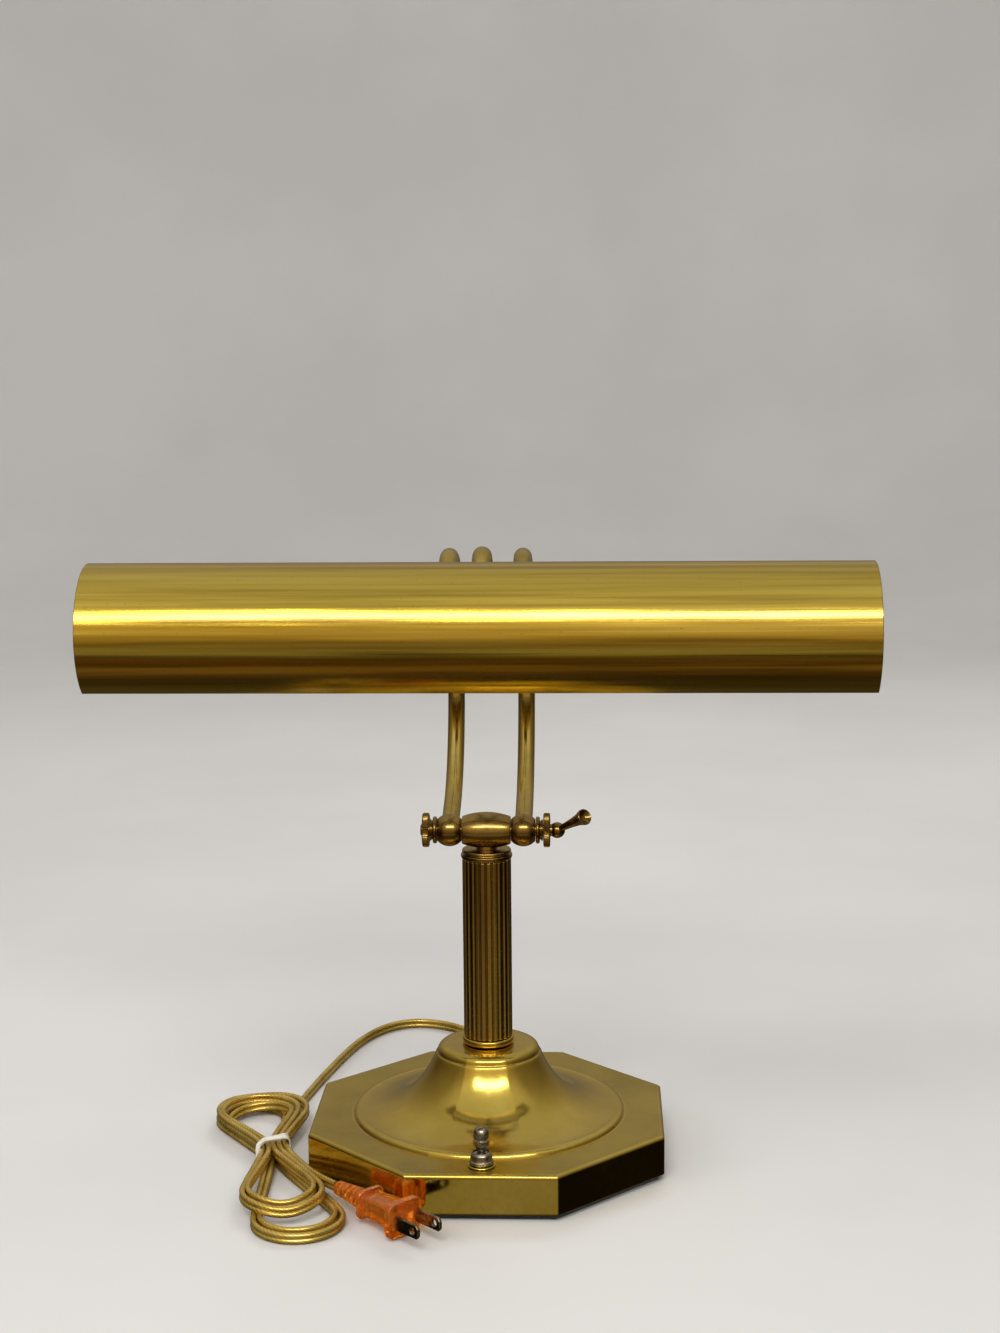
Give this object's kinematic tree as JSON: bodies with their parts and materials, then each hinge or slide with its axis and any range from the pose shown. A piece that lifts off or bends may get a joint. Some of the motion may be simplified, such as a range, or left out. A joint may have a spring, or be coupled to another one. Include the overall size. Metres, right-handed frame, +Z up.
{
  "type": "banker desk lamp",
  "caption": "Brass desk lamp with an octagonal weighted base, a fluted column, bent twin arms on a clamped knuckle, and a tilting horizontal trough shade.",
  "frame": {"origin": "middle of the base pad's flat underside, on the surface that the lamp stands on", "axes": "+Z up, +X to the lamp's right as seen from the front, along the shade; the front, with the switch, faces -Y"},
  "size_m": [0.3556, 0.311, 0.3007],
  "materials": {
    "base_brass": "polished lacquered brass",
    "shade_brass": "fine lengthwise brushed lacquered brass",
    "arm_brass": "polished brass tube",
    "aged_brass": "darkened cast and turned brass",
    "nickel": "worn nickel plate",
    "steel": "zinc plated steel",
    "iron": "rough casting",
    "pad": "dark felt",
    "phenolic": "moulded phenolic",
    "porcelain": "glazed white",
    "cord": "translucent gold vinyl over copper strands",
    "amber": "translucent amber moulding",
    "tie": "white rubber band",
    "bulb": "frosted glass"
  },
  "bodies": {
    "base": {"base_pad": "pad", "base_weight": "iron", "base_shell": "base_brass", "lamp_pipe": "steel", "pipe_washer": "steel", "pipe_nut": "steel", "column_foot_ring": "base_brass", "column_tube": "aged_brass", "column_cap": "aged_brass", "lower_knuckle_barrel": "aged_brass", "switch_body": "phenolic", "switch_bushing": "steel", "switch_washer": "base_brass", "switch_nut": "nickel", "inner_lead": "cord", "cord_bushing": "cord", "cord_lead": "cord", "cord_hank": "cord", "cord_tail": "cord", "cord_tie": "tie", "plug_body": "amber", "plug_blade_left": "nickel", "plug_blade_right": "nickel"},
    "arms": {"lower_eye_left": "aged_brass", "lower_eye_right": "aged_brass", "lower_collar_left": "aged_brass", "lower_collar_right": "aged_brass", "lower_disc_left": "aged_brass", "lower_disc_right": "aged_brass", "arm_left": "arm_brass", "arm_right": "arm_brass", "upper_eye_left": "aged_brass", "upper_eye_right": "aged_brass", "upper_collar_left": "aged_brass", "upper_collar_right": "aged_brass", "upper_disc_left": "aged_brass", "upper_disc_right": "aged_brass", "upper_bolt": "steel"},
    "clamp": {"clamp_screw": "aged_brass", "clamp_lever": "aged_brass"},
    "shade": {"upper_knuckle_barrel": "aged_brass", "neck_tube": "arm_brass", "neck_flange": "arm_brass", "neck_nipple": "steel", "neck_locknut": "steel", "shade_shell": "shade_brass", "shade_end_left": "shade_brass", "shade_end_right": "shade_brass", "socket_cluster": "steel", "socket_left": "porcelain", "socket_right": "porcelain", "bulb_cap_left": "nickel", "bulb_cap_right": "nickel", "bulb_glass_left": "bulb", "bulb_glass_right": "bulb"},
    "switch": {"switch_knob": "nickel"}
  },
  "joints": [
    {"name": "arm_tilt", "type": "hinge", "parent": "base", "child": "arms", "pos_m": [0, 0, 0.1623], "axis": [1, 0, 0], "range_deg": [-40, 45]},
    {"name": "shade_tilt", "type": "hinge", "parent": "arms", "child": "shade", "pos_m": [0, 0, 0.267], "axis": [1, 0, 0], "range_deg": [-45, 60]},
    {"name": "clamp_turn", "type": "hinge", "parent": "arms", "child": "clamp", "pos_m": [0, 0, 0.1623], "axis": [1, 0, 0], "range_deg": [-90, 90]},
    {"name": "switch_turn", "type": "hinge", "parent": "base", "child": "switch", "pos_m": [0, -0.0734, 0.0294], "axis": [0, 0, 1], "continuous": true}
  ]
}
